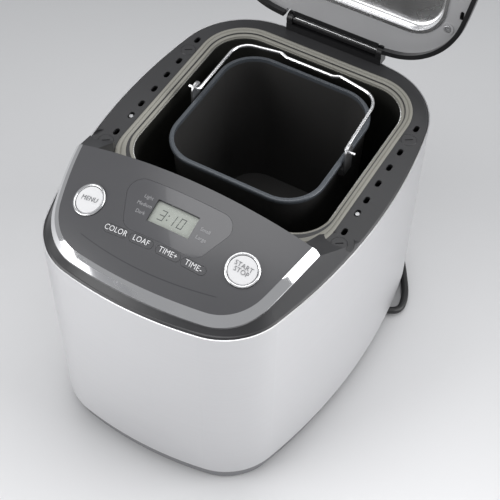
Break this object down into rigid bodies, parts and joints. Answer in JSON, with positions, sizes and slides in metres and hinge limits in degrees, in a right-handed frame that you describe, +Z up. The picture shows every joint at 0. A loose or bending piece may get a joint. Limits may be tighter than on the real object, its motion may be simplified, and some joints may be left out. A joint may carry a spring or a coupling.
{
  "type": "bread machine",
  "caption": "Bread machine with its lid up: brushed steel wrap, dark control panel with a chrome trim, removable pan with a wire bail, kneading drive and power cord.",
  "frame": {"origin": "on the table under the middle of the machine as it stands with the lid up, cord left out", "axes": "+Z up, -Y towards the control panel at the front, +X to the right seen from the front"},
  "size_m": [0.2617, 0.4613, 0.4739],
  "materials": {
    "brushed_wrap": "brushed",
    "black_plastic": "satin moulded",
    "grey_plastic": "satin moulded",
    "rubber": "matt",
    "panel_gloss": "semi gloss",
    "chrome": "polished",
    "display_glass": "clear",
    "lcd": "satin",
    "white_plastic": "satin",
    "key_grey": "satin",
    "circuit": "satin",
    "switch_plastic": "satin",
    "oven_steel": "dark non-stick coat",
    "gasket_grey": "satin",
    "element_metal": "oxidised sheath",
    "ceramic": "glazed ceramic",
    "zinc_steel": "zinc plated",
    "pan_coating": "dark non-stick coat",
    "shaft_steel": "turned",
    "cast_metal": "die cast",
    "motor_iron": "laminated",
    "ribbon_grey": "ribbed",
    "lid_silver": "satin silver",
    "lid_polished": "polished",
    "brass_pins": "bright"
  },
  "bodies": {
    "chassis": {"base_tray": "grey_plastic", "board_parts": "switch_plastic", "button_rings": "chrome", "chrome_trim": "chrome", "circuit_boards": "circuit", "control_fascia": "panel_gloss", "cord_tie": "rubber", "deck_plugs": "black_plastic", "deck_screws": "zinc_steel", "display_window": "display_glass", "drive_bearing": "shaft_steel", "drive_belt": "rubber", "element_mounts": "ceramic", "feet": "rubber", "heating_element": "element_metal", "hinge_block": "black_plastic", "hinge_pin": "chrome", "lcd_module": "lcd", "motor_brackets": "zinc_steel", "motor_stator": "motor_iron", "oven_gasket": "gasket_grey", "oven_liner": "oven_steel", "oven_sensors": "zinc_steel", "pan_seat": "oven_steel", "plug": "rubber", "plug_pins": "brass_pins", "power_cord": "rubber", "power_cord_coil": "rubber", "power_cord_tail": "rubber", "rear_vent_panel": "black_plastic", "ribbon_cable": "ribbon_grey", "steel_wrap": "brushed_wrap", "strain_relief": "rubber", "top_housing": "black_plastic"},
    "lid": {"lid_cover": "brushed_wrap", "lid_dish": "lid_polished", "lid_hinge_bar": "black_plastic", "lid_panel": "lid_silver", "lid_rim": "black_plastic", "lid_screws": "zinc_steel", "lid_window_frame": "black_plastic", "lid_window_panes": "display_glass"},
    "menu_push": {"menu_button": "white_plastic"},
    "start_push": {"start_button": "white_plastic"},
    "color_push": {"color_key": "key_grey"},
    "loaf_push": {"loaf_key": "key_grey"},
    "time_up_push": {"time_up_key": "key_grey"},
    "time_down_push": {"time_down_key": "key_grey"},
    "drive": {"drive_shaft": "shaft_steel", "drive_coupling": "cast_metal", "drive_pulley": "cast_metal"},
    "motor": {"motor_rotor": "shaft_steel", "motor_pulley": "cast_metal"},
    "pan": {"bread_pan": "pan_coating", "pan_bushing": "shaft_steel", "bail_brackets": "zinc_steel"},
    "pan_drive": {"pan_shaft": "shaft_steel", "pan_coupling": "cast_metal"},
    "paddle": {"kneading_paddle": "pan_coating"},
    "bail": {"bail_handle": "chrome"}
  },
  "joints": [
    {"name": "lid_hinge", "type": "hinge", "parent": "chassis", "child": "lid", "pos_m": [0, 0.132, 0.234], "axis": [-1, 0, 0], "range_deg": [-101, 0]},
    {"name": "menu_press", "type": "slide", "parent": "chassis", "child": "menu_push", "axis": [0.1708, 0.3494, -0.9213], "range_m": [0, 0.0012], "stiffness_N_per_m": 400, "springref_m": -0.0005},
    {"name": "start_press", "type": "slide", "parent": "chassis", "child": "start_push", "axis": [-0.1708, 0.3494, -0.9213], "range_m": [0, 0.0012], "stiffness_N_per_m": 400, "springref_m": -0.0005},
    {"name": "color_press", "type": "slide", "parent": "chassis", "child": "color_push", "axis": [0.0843, 0.4058, -0.91], "range_m": [0, 0.0005], "stiffness_N_per_m": 400, "springref_m": -0.0005},
    {"name": "loaf_press", "type": "slide", "parent": "chassis", "child": "loaf_push", "axis": [0.0285, 0.4048, -0.914], "range_m": [0, 0.0005], "stiffness_N_per_m": 400, "springref_m": -0.0005},
    {"name": "time_up_press", "type": "slide", "parent": "chassis", "child": "time_up_push", "axis": [-0.0299, 0.4048, -0.9139], "range_m": [0, 0.0005], "stiffness_N_per_m": 400, "springref_m": -0.0005},
    {"name": "time_down_press", "type": "slide", "parent": "chassis", "child": "time_down_push", "axis": [-0.084, 0.4058, -0.9101], "range_m": [0, 0.0005], "stiffness_N_per_m": 400, "springref_m": -0.0005},
    {"name": "drive_spin", "type": "hinge", "parent": "chassis", "child": "drive", "pos_m": [0, 0.013, 0.05], "axis": [0, 0, 1], "continuous": true},
    {"name": "motor_spin", "type": "hinge", "parent": "chassis", "child": "motor", "pos_m": [-0.04, -0.14, 0.05], "axis": [0, 0, 1], "continuous": true},
    {"name": "pan_lift", "type": "slide", "parent": "chassis", "child": "pan", "axis": [0, 0, 1], "range_m": [0, 0.18]},
    {"name": "paddle_spin", "type": "hinge", "parent": "pan", "child": "pan_drive", "pos_m": [0, 0.013, 0.08], "axis": [0, 0, 1], "continuous": true},
    {"name": "paddle_lift", "type": "slide", "parent": "pan_drive", "child": "paddle", "axis": [0, 0, 1], "range_m": [0, 0.15]},
    {"name": "bail_swing", "type": "hinge", "parent": "pan", "child": "bail", "pos_m": [0, 0.0127, 0.2293], "axis": [1, 0, 0], "range_deg": [0, 173]}
  ],
  "couplings": [
    {"joint": "motor_spin", "follows": "drive_spin", "ratio": 4.8889},
    {"joint": "paddle_spin", "follows": "drive_spin", "ratio": 1}
  ]
}
